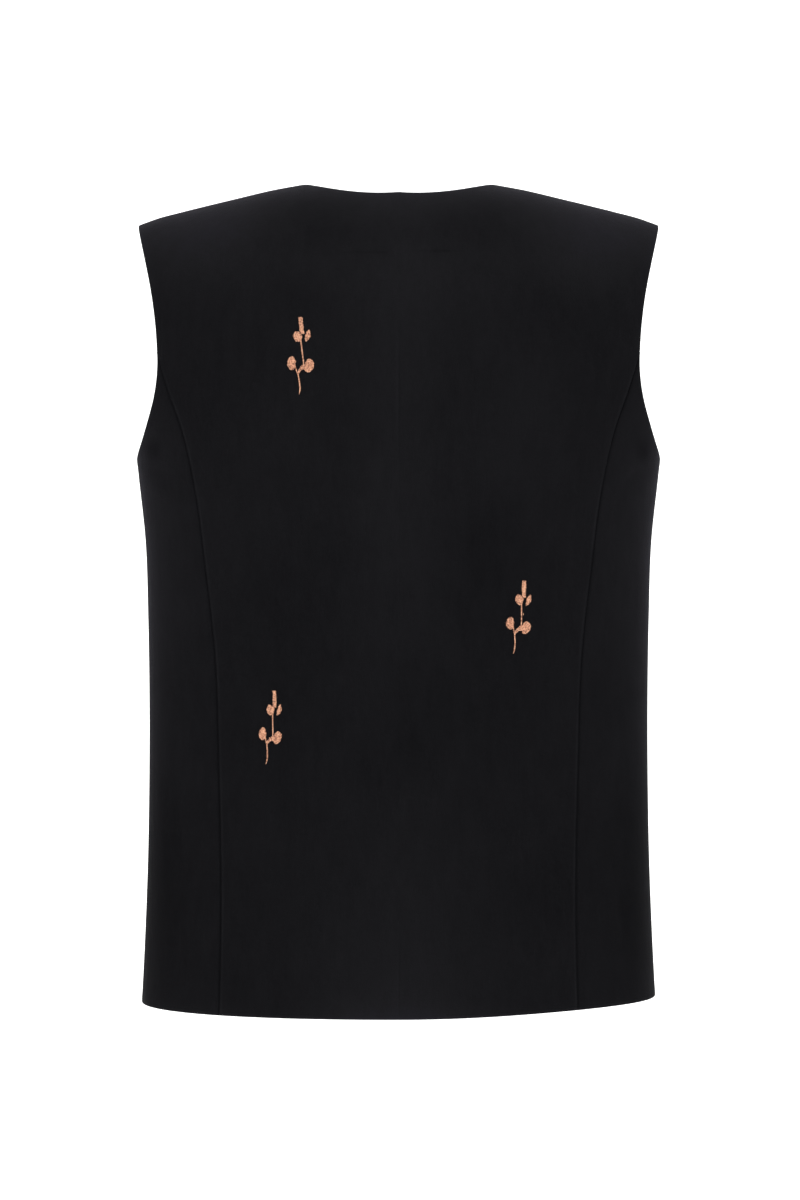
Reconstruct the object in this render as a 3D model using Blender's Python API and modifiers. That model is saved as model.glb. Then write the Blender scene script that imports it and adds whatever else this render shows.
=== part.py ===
"""A sleeveless vest in its worn form, empty: two back panels, two side panels and two fronts.

Units are metres, +Z is up, the fronts face -Y and the back faces +Y, so the wearer's left is +X.
The origin is midway between the shoulders, level with the middle of the shoulder seams.
Each panel is a patch of one worn form, laid as a grid and given its thickness by Solidify.
The embroidered sprigs are charted flat, in millimetres, and then laid on the back panels.
"""

import math
from collections import namedtuple

import bmesh
import bpy
import numpy as np

# Driving dimensions
HEM_Z = -0.5955
HEM_RISE_RIGHT = 0.005
HEM_RISE_REACH = 0.19
UNDERARM_Z = -0.1907
V_POINT_Z = UNDERARM_Z
SEAM_TOP_Z = -0.1144
NECK_HALF_WIDTH = 0.0705
NECK_BACK_Y = 0.0665
NECK_POWER = 2.4
SHOULDER_TIP_X = 0.1946
CROWN_DROP = 0.045
SECTION_POWER = 2.3
SIDE_SEAM_ANGLE = math.radians(94.0)
WALL = 0.002

# Seams
SEAM_GAP = 0.0003
ROLL_WIDTH = 0.0028
ROLL_DEPTH = 0.0005

# Grid counts
LOWER_ROWS = 18
UPPER_ROWS = 5
CROWN_ROWS = 5
BACK_NECK_COLUMNS = 5
BACK_SHOULDER_COLUMNS = 7
SIDE_COLUMNS = 6
FRONT_COLUMNS = 11

# Embroidery, charted in millimetres
MM = 0.001
THREAD_LIFT = 0.0003
LEAF_SIDES = 16
BASE_STEP = 0.02
STITCH_HEIGHT = 0.75
STITCH_CROWN = 0.35
STEM_DROP = 0.12
STEM_WIDTH = 1.4
NECK_WIDTH = 4.6
BUD_WIDTH = 3.4
ROOT = -15.6
STALK_FOOT = 8.0
STALK_TOP = 22.0

# Colours: the cloth's near black and the thread's copper
CLOTH_COLOUR = (0.0088, 0.0088, 0.0097, 1.0)
THREAD_COLOUR = (0.64, 0.30, 0.17, 1.0)

Section = namedtuple("Section", "z half_width back_depth front_depth")
# Rings of the worn form, hem to neck. Above the underarm the half width is that of the shoulders.
SECTIONS = (
    Section(-0.596, 0.1921, 0.1140, 0.1120),
    Section(-0.550, 0.1898, 0.1110, 0.1105),
    Section(-0.490, 0.1876, 0.1070, 0.1090),
    Section(-0.430, 0.1866, 0.1030, 0.1080),
    Section(-0.370, 0.1860, 0.1010, 0.1080),
    Section(-0.310, 0.1868, 0.1020, 0.1110),
    Section(-0.250, 0.1895, 0.1060, 0.1160),
    Section(-0.206, 0.1942, 0.1100, 0.1180),
    Section(-0.191, 0.1958, 0.1110, 0.1180),
    Section(-0.150, 0.2020, 0.1125, 0.1120),
    Section(-0.110, 0.2090, 0.1105, 0.1020),
    Section(-0.070, 0.2160, 0.1030, 0.0860),
    Section(-0.035, 0.2220, 0.0920, 0.0720),
    Section(0.000, 0.2260, 0.0860, 0.0640),
    Section(0.022, 0.2280, 0.0850, 0.0620),
)

Ridge = namedtuple("Ridge", "x z")
# The line over the shoulders, from the middle of the neck to the shoulder's tip.
RIDGE = (
    Ridge(0.0000, 0.0195),
    Ridge(0.0705, 0.0147),
    Ridge(0.0885, 0.0117),
    Ridge(0.1245, 0.0035),
    Ridge(0.1609, -0.0052),
    Ridge(0.1800, -0.0101),
    Ridge(0.1946, -0.0153),
)

Armhole = namedtuple("Armhole", "z back_x front_x")
# Half distances between the armholes, underarm to shoulder tip.
ARMHOLE = (
    Armhole(-0.1907, 0.1958, 0.1950),
    Armhole(-0.1773, 0.1898, 0.1888),
    Armhole(-0.1633, 0.1847, 0.1828),
    Armhole(-0.1492, 0.1803, 0.1757),
    Armhole(-0.1276, 0.1769, 0.1680),
    Armhole(-0.1057, 0.1773, 0.1670),
    Armhole(-0.0759, 0.1806, 0.1705),
    Armhole(-0.0451, 0.1868, 0.1800),
    Armhole(-0.0287, 0.1910, 0.1870),
    Armhole(-0.0153, 0.1946, 0.1946),
)

BackSeam = namedtuple("BackSeam", "z x")
# The curved seam of the back, hem to armhole.
BACK_SEAM = (
    BackSeam(-0.596, 0.1298),
    BackSeam(-0.520, 0.1286),
    BackSeam(-0.419, 0.1305),
    BackSeam(-0.332, 0.1338),
    BackSeam(-0.274, 0.1403),
    BackSeam(-0.216, 0.1480),
    BackSeam(-0.172, 0.1578),
    BackSeam(-0.1425, 0.1682),
    BackSeam(-0.1144, 0.1770),
)

NeckEdge = namedtuple("NeckEdge", "z x")
# The front neck edge, from the point of the V to the shoulder.
FRONT_NECK = (
    NeckEdge(-0.1907, 0.0000),
    NeckEdge(-0.1450, 0.0205),
    NeckEdge(-0.0900, 0.0425),
    NeckEdge(-0.0400, 0.0590),
    NeckEdge(-0.0050, 0.0670),
    NeckEdge(0.0147, 0.0705),
)

Leaf = namedtuple("Leaf", "name across up length width lean foot tip bow")
# One sprig, from the fork of its stems. Lean is in degrees clockwise, a foot or tip over 1 is
# more pointed than an oval's, and bow bulges the leaf to the right.
LEAVES = (
    Leaf("low_left", -5.2, 6.9, 10.0, 6.5, -2.0, 0.95, 1.20, -0.4),
    Leaf("low_right", 6.9, 5.1, 9.9, 7.1, 12.0, 1.05, 1.00, 0.3),
    Leaf("high_left", -1.2, 26.0, 8.2, 6.8, -20.0, 1.10, 1.50, 0.2),
)
FREE_LEAF = Leaf("free", 5.9, 26.8, 9.3, 3.9, 13.0, 1.40, 1.70, 0.3)

Stem = namedtuple("Stem", "name foot_width tip_width points")
STEMS = (
    Stem("foot", STEM_WIDTH, STEM_WIDTH, ((0.3, ROOT), (0.6, -10.5), (0.1, -6.0), (-0.7, -2.0), (-1.0, 0.6))),
    Stem("left", STEM_WIDTH, STEM_WIDTH, ((-0.8, -1.0), (-1.7, 1.0), (-2.5, 3.0), (-3.4, 5.4))),
    Stem("right", STEM_WIDTH, NECK_WIDTH, ((-1.0, -0.4), (0.5, 2.4), (2.4, 3.9), (4.8, 4.4))),
    Stem("middle", STEM_WIDTH, STEM_WIDTH, ((3.3, 4.6), (3.0, 8.0), (2.4, 13.0), (1.7, 18.5), (1.0, 23.6))),
    Stem("bud", BUD_WIDTH, BUD_WIDTH, ((2.0, 27.9), (1.8, 30.6), (1.2, 35.0), (0.6, 40.2))),
)

Sprig = namedtuple("Sprig", "name x z lean stretch spread fullness")
# Where each sprig's fork lies on the back and how far it leans, in degrees towards -X. Its stalk
# is lengthened by stretch, in millimetres, and its foot by half of that. Spread is how wide it
# spreads, and fullness is the size of its leaves.
SPRIGS = (
    Sprig("upper", 0.0713, -0.1323, 0.0, 0.0, 1.00, 1.00),
    Sprig("right", -0.0849, -0.3197, 8.0, -1.7, 0.95, 0.97),
    Sprig("lower", 0.0942, -0.3996, 6.0, -1.6, 0.88, 0.96),
)


def smooth_curve(rows, key, value):
    """A smooth function through a table's rows, with a flat or steady slope at each row."""
    keys = np.array([getattr(row, key) for row in rows])
    values = np.array([getattr(row, value) for row in rows])
    slopes = np.gradient(values, keys)

    def read(at):
        at = min(max(at, keys[0]), keys[-1])
        i = min(int(np.searchsorted(keys, at, side="right")) - 1, len(keys) - 2)
        span = keys[i + 1] - keys[i]
        t = (at - keys[i]) / span
        rise = t * t * (3 - 2 * t)
        return float(
            values[i] * (1 - rise)
            + values[i + 1] * rise
            + span * t * (1 - t) * ((1 - t) * slopes[i] - t * slopes[i + 1])
        )

    return read


half_width = smooth_curve(SECTIONS, "z", "half_width")
back_depth = smooth_curve(SECTIONS, "z", "back_depth")
front_depth = smooth_curve(SECTIONS, "z", "front_depth")
ridge_height = smooth_curve(RIDGE, "x", "z")
back_armhole = smooth_curve(ARMHOLE, "z", "back_x")
front_armhole = smooth_curve(ARMHOLE, "z", "front_x")
back_seam = smooth_curve(BACK_SEAM, "z", "x")
front_neck = smooth_curve(FRONT_NECK, "z", "x")


def mix(a, b, t):
    return a + (b - a) * t


def crown(x, z):
    """How far the form has opened below the shoulder line: 0 on the line, 1 from CROWN_DROP down."""
    down = min(max((ridge_height(x) - z) / CROWN_DROP, 0.0), 1.0)
    return math.sqrt(1 - (1 - down) ** 2)


def side_fall(x, z):
    """How much of the section's depth is left at x, from 1 at the middle to 0 at the side."""
    share = min(abs(x) / half_width(z), 1.0)
    return (1 - share**SECTION_POWER) ** (1 / SECTION_POWER)


def back_point(x, z):
    """A point of the worn form's back."""
    return (x, back_depth(z) * side_fall(x, z) * crown(abs(x), z), z)


def front_point(x, z):
    """A point of the worn form's front."""
    return (x, -front_depth(z) * side_fall(x, z) * crown(abs(x), z), z)


def ring_point(angle, z):
    """A point of the form below the armholes. The angle runs from the middle back to the middle front."""
    x = half_width(z) * math.sin(angle) ** (2 / SECTION_POWER)
    side = abs(math.cos(angle)) ** (2 / SECTION_POWER)
    return (x, back_depth(z) * side if angle < math.pi / 2 else -front_depth(z) * side, z)


def ring_angle(x, z):
    """The ring angle of a point of the back at x."""
    return math.asin(min(x / half_width(z), 1.0) ** (SECTION_POWER / 2))


def hem_height(x):
    """The height of the hem, which hangs a little higher on the wearer's right."""
    share = min(max(-x / HEM_RISE_REACH, 0.0), 1.0)
    return HEM_Z + HEM_RISE_RIGHT * share * share * (3 - 2 * share)


def back_neck_height(x):
    """The height of the back neck edge, which is a squarish ellipse seen from above."""
    y = NECK_BACK_Y * (1 - (x / NECK_HALF_WIDTH) ** NECK_POWER) ** (1 / NECK_POWER)
    height = ridge_height(x)
    for _ in range(4):
        opened = min(y / (back_depth(height) * side_fall(x, height)), 1.0)
        height = ridge_height(x) - CROWN_DROP * (1 - math.sqrt(1 - opened**2))
    return height


def lifted(x, z, top):
    """A height between the hem and the top, after the hem's rise at x."""
    return mix(hem_height(x), top, (z - HEM_Z) / (top - HEM_Z))


def steps(count):
    return [k / count for k in range(count + 1)]


def rounded_steps(count):
    """Steps from 0 to 1 that shorten towards 1, as the form turns over the shoulder."""
    return [math.sin(k / count * math.pi / 2) for k in range(count + 1)]


def rows_to_top(base, top, crown_share):
    """Heights from base to top, as shares: even below the crown and rounded within it."""
    knee = 1 - crown_share
    lower = [knee * k / UPPER_ROWS for k in range(UPPER_ROWS)]
    upper = [mix(knee, 1.0, share) for share in rounded_steps(CROWN_ROWS)]
    return [mix(base, top, share) for share in lower + upper]


def back_grid(side):
    """Rows of points of one back panel, hem to neck and shoulder, middle to outer edge."""
    tip_z = ridge_height(SHOULDER_TIP_X)
    neck_share = NECK_HALF_WIDTH / SHOULDER_TIP_X
    columns = [neck_share * math.sin(k / BACK_NECK_COLUMNS * math.pi / 2) for k in range(BACK_NECK_COLUMNS)]
    columns += [mix(neck_share, 1.0, share) for share in steps(BACK_SHOULDER_COLUMNS)]
    crown_share = CROWN_DROP / (tip_z - SEAM_TOP_Z)
    edge_heights = [mix(HEM_Z, SEAM_TOP_Z, share) for share in steps(LOWER_ROWS)]
    edge_heights += rows_to_top(SEAM_TOP_Z, tip_z, crown_share)[1:]
    rows = []
    for edge_z in edge_heights:
        edge_x = back_seam(edge_z) if edge_z <= SEAM_TOP_Z else back_armhole(edge_z)
        climbed = (edge_z - HEM_Z) / (tip_z - HEM_Z)
        row = []
        for share in columns:
            top_x = share * SHOULDER_TIP_X
            top_z = back_neck_height(top_x) if top_x < NECK_HALF_WIDTH else ridge_height(top_x)
            x = side * share * edge_x
            row.append(back_point(x, mix(hem_height(x), top_z, climbed)))
        rows.append(row)
    return rows


def side_top(share):
    """Where a strand of the side panel, at a share of the panel's width, meets the armhole."""
    low, high = UNDERARM_Z, SEAM_TOP_Z
    for _ in range(40):
        z = (low + high) / 2
        edge_angle = ring_angle(back_armhole(z), z)
        strand_angle = mix(ring_angle(back_seam(z), z), SIDE_SEAM_ANGLE, share)
        if edge_angle < strand_angle:
            high = z
        else:
            low = z
    return z


def side_grid(side):
    """Rows of points of one side panel, hem to armhole, back seam to side seam."""
    shares = steps(SIDE_COLUMNS)
    tops = [SEAM_TOP_Z] + [side_top(share) for share in shares[1:-1]] + [UNDERARM_Z]
    rows = []
    for climbed in steps(LOWER_ROWS):
        row = []
        for share, top in zip(shares, tops):
            z = mix(HEM_Z, top, climbed)
            x, y, _ = ring_point(mix(ring_angle(back_seam(z), z), SIDE_SEAM_ANGLE, share), z)
            row.append((side * x, y, lifted(side * x, z, top)))
        rows.append(row)
    return rows


def front_grid(side):
    """Rows of points of one front, hem to shoulder, side seam and armhole to neck and middle edge."""
    tip_z, neck_z = ridge_height(SHOULDER_TIP_X), ridge_height(NECK_HALF_WIDTH)
    angles = [mix(SIDE_SEAM_ANGLE, math.pi, share) for share in steps(FRONT_COLUMNS)]
    rows = []
    for climbed in steps(LOWER_ROWS):
        z = mix(HEM_Z, UNDERARM_Z, climbed)
        points = [ring_point(angle, z) for angle in angles]
        rows.append([(side * x, y, lifted(side * x, z, UNDERARM_Z)) for x, y, z in points])
    seam_share = math.sin(SIDE_SEAM_ANGLE) ** (2 / SECTION_POWER)
    shares = [max(math.sin(angle), 0.0) ** (2 / SECTION_POWER) / seam_share for angle in angles]
    crown_share = CROWN_DROP / (tip_z - UNDERARM_Z)
    for climbed in rows_to_top(0.0, 1.0, crown_share)[1:]:
        outer_z = mix(UNDERARM_Z, tip_z, climbed)
        inner_x = front_neck(mix(V_POINT_Z, neck_z, climbed))
        row = []
        for share in shares:
            top_z = ridge_height(mix(NECK_HALF_WIDTH, SHOULDER_TIP_X, share))
            x = mix(inner_x, front_armhole(outer_z), share)
            row.append(front_point(side * x, mix(UNDERARM_Z, top_z, climbed)))
        rows.append(row)
    return rows


def with_normals(rows):
    """A grid's points, each followed by the direction that the form faces there."""
    grid = np.array(rows)
    up, across = np.gradient(grid, axis=(0, 1), edge_order=2)
    normals = np.cross(across, up)
    normals /= np.linalg.norm(normals, axis=2, keepdims=True)
    outwards = np.sum(normals[:, :, :2] * grid[:, :, :2])
    return np.concatenate([grid, normals * np.sign(outwards)], axis=2)


def with_roll(grid):
    """Adds a narrow strip along each of the four edges, which the seam's roll bends down."""
    for axis in (0, 1):
        grid = np.moveaxis(grid, axis, 0)
        for edge, inner in ((0, 1), (-1, -2)):
            reach = grid[inner] - grid[edge]
            length = np.linalg.norm(reach[:, :3], axis=1, keepdims=True)
            strip = grid[edge] + reach * np.minimum(ROLL_WIDTH / length, 0.5)
            edge_line = grid[edge] + reach * np.minimum(SEAM_GAP / 2 / length, 0.2)
            if edge == 0:
                grid = np.concatenate([edge_line[None], strip[None], grid[1:]])
            else:
                grid = np.concatenate([grid[:-1], strip[None], edge_line[None]])
        grid = np.moveaxis(grid, 0, axis)
    return grid


def panel_surface(name, rows):
    """An open grid mesh on these rows of points, its faces pointing away from the wearer."""
    grid = with_roll(with_normals(rows))
    row_count, column_count = grid.shape[:2]
    bm = bmesh.new()
    bmesh.ops.create_grid(bm, x_segments=column_count - 1, y_segments=row_count - 1, size=0.5)
    for vert in bm.verts:
        i = round((vert.co.y + 0.5) * (row_count - 1))
        j = round((vert.co.x + 0.5) * (column_count - 1))
        rolled = ROLL_DEPTH if vert.is_boundary else 0.0
        vert.co = grid[i, j, :3] - rolled * grid[i, j, 3:]
    bm.normal_update()
    outwards = sum(face.normal.xy.dot(face.calc_center_median().xy) for face in bm.faces)
    if outwards < 0:
        bmesh.ops.reverse_faces(bm, faces=bm.faces)
    mesh = bpy.data.meshes.new(name)
    bm.to_mesh(mesh)
    bm.free()
    return mesh


def make_material(name, colour, roughness):
    material = bpy.data.materials.new(name)
    material.use_nodes = True
    shader = material.node_tree.nodes["Principled BSDF"]
    shader.inputs["Base Color"].default_value = colour
    shader.inputs["Roughness"].default_value = roughness
    shader.inputs["Metallic"].default_value = 0.0
    material.diffuse_color = colour
    return material


def add_object(name, mesh, collection, material):
    obj = bpy.data.objects.new(name, mesh)
    obj.data.materials.clear()
    obj.data.materials.append(material)
    collection.objects.link(obj)
    return obj


def add_panel(name, rows, collection, material):
    """A cloth panel: its surface, smooth, with the wall inside it."""
    obj = add_object(name, panel_surface(name, rows), collection, material)
    obj.data.shade_smooth()
    wall = obj.modifiers.new("wall", "SOLIDIFY")
    wall.thickness = WALL
    wall.offset = -1.0
    wall.use_even_offset = True
    return obj


def raise_stitches(bm, base, height):
    """Turns the flat faces of bm into a closed pad that stands from base to base + height."""
    bmesh.ops.translate(bm, verts=bm.verts, vec=(0.0, 0.0, base))
    made = bmesh.ops.extrude_face_region(bm, geom=list(bm.faces))
    tops = [item for item in made["geom"] if isinstance(item, bmesh.types.BMVert)]
    for vert in tops:
        vert.co.z += height


def leaf_pad(leaf, fullness, base):
    """One leaf, flat in millimetres: a round fan drawn out at its ends, higher in its middle."""
    bm = bmesh.new()
    bmesh.ops.create_circle(bm, cap_ends=True, cap_tris=True, segments=LEAF_SIDES, radius=1.0)
    lean = math.radians(leaf.lean)
    middle = min(bm.verts, key=lambda vert: vert.co.length)
    for vert in bm.verts:
        taper = mix(leaf.foot, leaf.tip, (1 + vert.co.y) / 2)
        bulge = 1 - vert.co.y**2
        across = math.copysign(abs(vert.co.x) ** taper, vert.co.x) * leaf.width / 2
        across = (across + leaf.bow * bulge) * fullness
        up = vert.co.y * leaf.length / 2 * fullness
        vert.co.x = leaf.across + across * math.cos(lean) + up * math.sin(lean)
        vert.co.y = leaf.up - across * math.sin(lean) + up * math.cos(lean)
    foot = middle.co.copy()
    raise_stitches(bm, base, STITCH_HEIGHT)
    for vert in bm.verts:
        if vert.co.z > base + STITCH_HEIGHT / 2 and (vert.co.xy - foot.xy).length < 1e-3:
            vert.co.z += STITCH_CROWN
    return bm


def stem_pad(stem, base):
    """One stem, flat in millimetres: a ribbon along its points, from its foot's width to its tip's."""
    points = np.array(stem.points)
    runs = np.gradient(points, axis=0)
    runs /= np.linalg.norm(runs, axis=1, keepdims=True)
    bm = bmesh.new()
    bmesh.ops.create_grid(bm, x_segments=1, y_segments=len(points) - 1, size=0.5)
    for vert in bm.verts:
        i = round((vert.co.y + 0.5) * (len(points) - 1))
        across = vert.co.x * mix(stem.foot_width, stem.tip_width, i / (len(points) - 1))
        vert.co.x = points[i][0] + across * runs[i][1]
        vert.co.y = points[i][1] - across * runs[i][0]
    raise_stitches(bm, base, STITCH_HEIGHT - STEM_DROP)
    return bm


def flat_object(name, bm, collection):
    mesh = bpy.data.meshes.new(name)
    bm.to_mesh(mesh)
    bm.free()
    obj = bpy.data.objects.new(name, mesh)
    collection.objects.link(obj)
    return obj


def joined_pads(name, pads, helpers):
    """The pads made one body, as a mesh still flat and in millimetres."""
    pieces = [flat_object(f"{name}_{i}", bm, helpers) for i, bm in enumerate(pads)]
    for piece in pieces[1:]:
        union = pieces[0].modifiers.new(piece.name, "BOOLEAN")
        union.operation = "UNION"
        union.solver = "EXACT"
        union.object = piece
    graph = bpy.context.evaluated_depsgraph_get()
    mesh = bpy.data.meshes.new_from_object(pieces[0].evaluated_get(graph))
    for piece in pieces:
        bpy.data.objects.remove(piece)
    return mesh


def surface_normal(x, z):
    """The direction in which the back faces at a point, from its slopes."""
    reach = 0.0005
    here = np.array(back_point(x, z))
    across = np.array(back_point(x + reach, z)) - here
    up = np.array(back_point(x, z + reach)) - here
    normal = np.cross(up, across)
    return normal / np.linalg.norm(normal)


def lay_on_back(mesh, sprig):
    """Fits flat stitches to a sprig's height, spread and lean, and lays them on the back."""
    lean = math.radians(sprig.lean)
    bm = bmesh.new()
    bm.from_mesh(mesh)
    bmesh.ops.triangulate(bm, faces=bm.faces)
    for vert in bm.verts:
        stalk = min(max((vert.co.y - STALK_FOOT) / (STALK_TOP - STALK_FOOT), 0.0), 1.0)
        foot = min(max(vert.co.y / ROOT, 0.0), 1.0)
        high = vert.co.y + (stalk - foot / 2) * sprig.stretch
        wide = vert.co.x * sprig.spread
        across = wide * math.cos(lean) + high * math.sin(lean)
        up = high * math.cos(lean) - wide * math.sin(lean)
        x, z = sprig.x - across * MM, sprig.z + up * MM
        place = np.array(back_point(x, z))
        vert.co = place + surface_normal(x, z) * (THREAD_LIFT + vert.co.z * MM)
    bm.to_mesh(mesh)
    bm.free()
    return mesh


def add_sprig(sprig, collection, helpers, material):
    """One embroidered sprig: its stems and joined leaves, and the leaf that stands by itself."""
    name = f"sprig_{sprig.name}"
    pads = [stem_pad(stem, i * BASE_STEP) for i, stem in enumerate(STEMS)]
    pads += [
        leaf_pad(leaf, sprig.fullness, (len(STEMS) + i) * BASE_STEP) for i, leaf in enumerate(LEAVES)
    ]
    mesh = joined_pads(name, pads, helpers)
    add_object(name, lay_on_back(mesh, sprig), collection, material)
    free = joined_pads(f"{name}_leaf", [leaf_pad(FREE_LEAF, sprig.fullness, 0.0)], helpers)
    add_object(f"{name}_leaf", lay_on_back(free, sprig), collection, material)


def clear_scene():
    for obj in list(bpy.data.objects):
        bpy.data.objects.remove(obj)


def new_collection(name):
    collection = bpy.data.collections.new(name)
    bpy.context.scene.collection.children.link(collection)
    return collection


def main():
    clear_scene()
    vest = new_collection("embroidered_vest")
    helpers = new_collection("stitch_helpers")
    cloth = make_material("black_cloth", CLOTH_COLOUR, 0.85)
    thread = make_material("copper_thread", THREAD_COLOUR, 0.5)
    for label, side in (("left", 1), ("right", -1)):
        add_panel(f"back_{label}", back_grid(side), vest, cloth)
        add_panel(f"side_{label}", side_grid(side), vest, cloth)
        add_panel(f"front_{label}", front_grid(side), vest, cloth)
    for sprig in SPRIGS:
        add_sprig(sprig, vest, helpers, thread)


main()
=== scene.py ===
"""The looks of a sleeveless embroidered vest, worn but empty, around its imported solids.

Units are metres and +Z is up. The fronts face -Y and the back faces +Y, so the wearer's left is +X.
The camera stands behind the vest, level with its waist, as the photograph was taken.
Each cloth panel is a fine thin shell on the worn form, with its creases, seams and turned edges.
Each sprig is embroidered stitch by stitch on the back panels.
"""

import logging
import math
import random
from dataclasses import dataclass, field
from enum import Enum

import bmesh
import bpy
import numpy as np
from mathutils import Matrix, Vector


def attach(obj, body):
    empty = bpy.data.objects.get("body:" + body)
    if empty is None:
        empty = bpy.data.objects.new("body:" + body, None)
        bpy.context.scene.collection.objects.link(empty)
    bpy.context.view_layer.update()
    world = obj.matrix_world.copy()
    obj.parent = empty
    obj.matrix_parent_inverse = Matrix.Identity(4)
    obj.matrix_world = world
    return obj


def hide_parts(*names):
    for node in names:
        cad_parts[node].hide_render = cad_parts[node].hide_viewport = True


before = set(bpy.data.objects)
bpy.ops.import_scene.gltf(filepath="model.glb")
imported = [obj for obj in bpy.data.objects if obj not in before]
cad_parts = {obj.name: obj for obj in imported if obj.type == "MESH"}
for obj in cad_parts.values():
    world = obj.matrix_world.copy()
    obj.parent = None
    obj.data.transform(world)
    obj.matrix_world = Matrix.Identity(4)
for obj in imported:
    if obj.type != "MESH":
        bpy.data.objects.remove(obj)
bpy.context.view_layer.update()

Array = np.ndarray
LOG = logging.getLogger("vest")
MM = 0.001
BODY = "root"
NAP_WEAR_AND_PAINTED_LIGHT = "nap"


class Side(Enum):
    """A side of the wearer, by the sign of its X."""

    LEFT = 1
    RIGHT = -1

    @property
    def label(self) -> str:
        """The side's name, as the nodes have it."""
        return self.name.lower()


class Face(Enum):
    """Which face of the worn form a point lies on, by the sign of its Y."""

    BACK = 1
    FRONT = -1


@dataclass(frozen=True)
class Section:
    """A ring of the worn form. Above the underarm its half width goes on to the shoulders'."""

    z: float
    half_width: float
    back_depth: float
    front_depth: float


SECTIONS = (
    Section(-0.596, 0.1921, 0.1140, 0.1120),
    Section(-0.550, 0.1898, 0.1110, 0.1105),
    Section(-0.490, 0.1876, 0.1070, 0.1090),
    Section(-0.430, 0.1866, 0.1030, 0.1080),
    Section(-0.370, 0.1865, 0.1010, 0.1080),
    Section(-0.310, 0.1874, 0.1020, 0.1110),
    Section(-0.250, 0.1895, 0.1060, 0.1160),
    Section(-0.206, 0.1942, 0.1100, 0.1180),
    Section(-0.191, 0.1958, 0.1110, 0.1180),
    Section(-0.150, 0.2020, 0.1125, 0.1120),
    Section(-0.110, 0.2090, 0.1105, 0.1020),
    Section(-0.070, 0.2160, 0.1030, 0.0860),
    Section(-0.035, 0.2220, 0.0920, 0.0720),
    Section(0.000, 0.2260, 0.0860, 0.0640),
    Section(0.022, 0.2280, 0.0850, 0.0620),
)

# Height of the line over the shoulders, by distance from the middle.
RIDGE = {
    0.0: 0.0195, 0.0705: 0.0147, 0.0885: 0.0117, 0.1245: 0.0035, 0.1609: -0.0052, 0.18: -0.0101,
    0.1946: -0.0153,
}

# Half distance between the armholes by height, on the back and on the front.
BACK_ARMHOLE = {
    -0.1907: 0.1958, -0.1773: 0.1898, -0.1633: 0.1847, -0.1492: 0.1803, -0.1276: 0.1769,
    -0.1057: 0.1773, -0.0759: 0.1806, -0.0451: 0.1868, -0.0287: 0.191, -0.0153: 0.1946,
}
FRONT_ARMHOLE = {
    -0.1907: 0.195, -0.1773: 0.1888, -0.1633: 0.1828, -0.1492: 0.1757, -0.1276: 0.168,
    -0.1057: 0.167, -0.0759: 0.1705, -0.0451: 0.18, -0.0287: 0.187, -0.0153: 0.1946,
}

# The curved seam of the back, hem to armhole, and the front neck edge, point of the V to shoulder.
BACK_SEAM = {
    -0.596: 0.1298, -0.52: 0.1286, -0.419: 0.1305, -0.332: 0.1338, -0.274: 0.1403, -0.216: 0.148,
    -0.172: 0.1578, -0.1425: 0.1682, -0.1144: 0.177,
}
FRONT_NECK = {
    -0.1907: 0.0, -0.145: 0.0205, -0.09: 0.0425, -0.04: 0.059, -0.005: 0.067, 0.0147: 0.0705,
}


class Profile:
    """A smooth function through stations, read for whole arrays at once."""

    def __init__(self, stations: dict[float, float]) -> None:
        """Keeps the stations and works out the slope at each.

        Args:
            stations: the value at each place, in rising order of the places.
        """
        self.keys = np.array(list(stations))
        self.values = np.array(list(stations.values()))
        self.slopes = np.gradient(self.values, self.keys)

    @classmethod
    def of_sections(cls, name: str) -> "Profile":
        """The profile of one measure of the sections, by height."""
        return cls({section.z: getattr(section, name) for section in SECTIONS})

    def __call__(self, at: Array) -> Array:
        """The values there.

        Args:
            at: the places to read, clipped to the stations' range.

        Returns:
            The value at each place.
        """
        at = np.clip(at, self.keys[0], self.keys[-1])
        i = np.clip(np.searchsorted(self.keys, at, side="right") - 1, 0, len(self.keys) - 2)
        span = self.keys[i + 1] - self.keys[i]
        t = (at - self.keys[i]) / span
        rise = t * t * (3 - 2 * t)
        bend = span * t * (1 - t) * ((1 - t) * self.slopes[i] - t * self.slopes[i + 1])
        return self.values[i] * (1 - rise) + self.values[i + 1] * rise + bend


def mix(a: Array, b: Array, t: Array) -> Array:
    """The value t of the way from a to b."""
    return a + (b - a) * t


def stacked(x: Array, y: Array, z: Array) -> Array:
    """Points from their coordinates, which may be given once for a whole row or column."""
    return np.stack(np.broadcast_arrays(x, y, z), axis=-1).astype(float)


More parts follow.
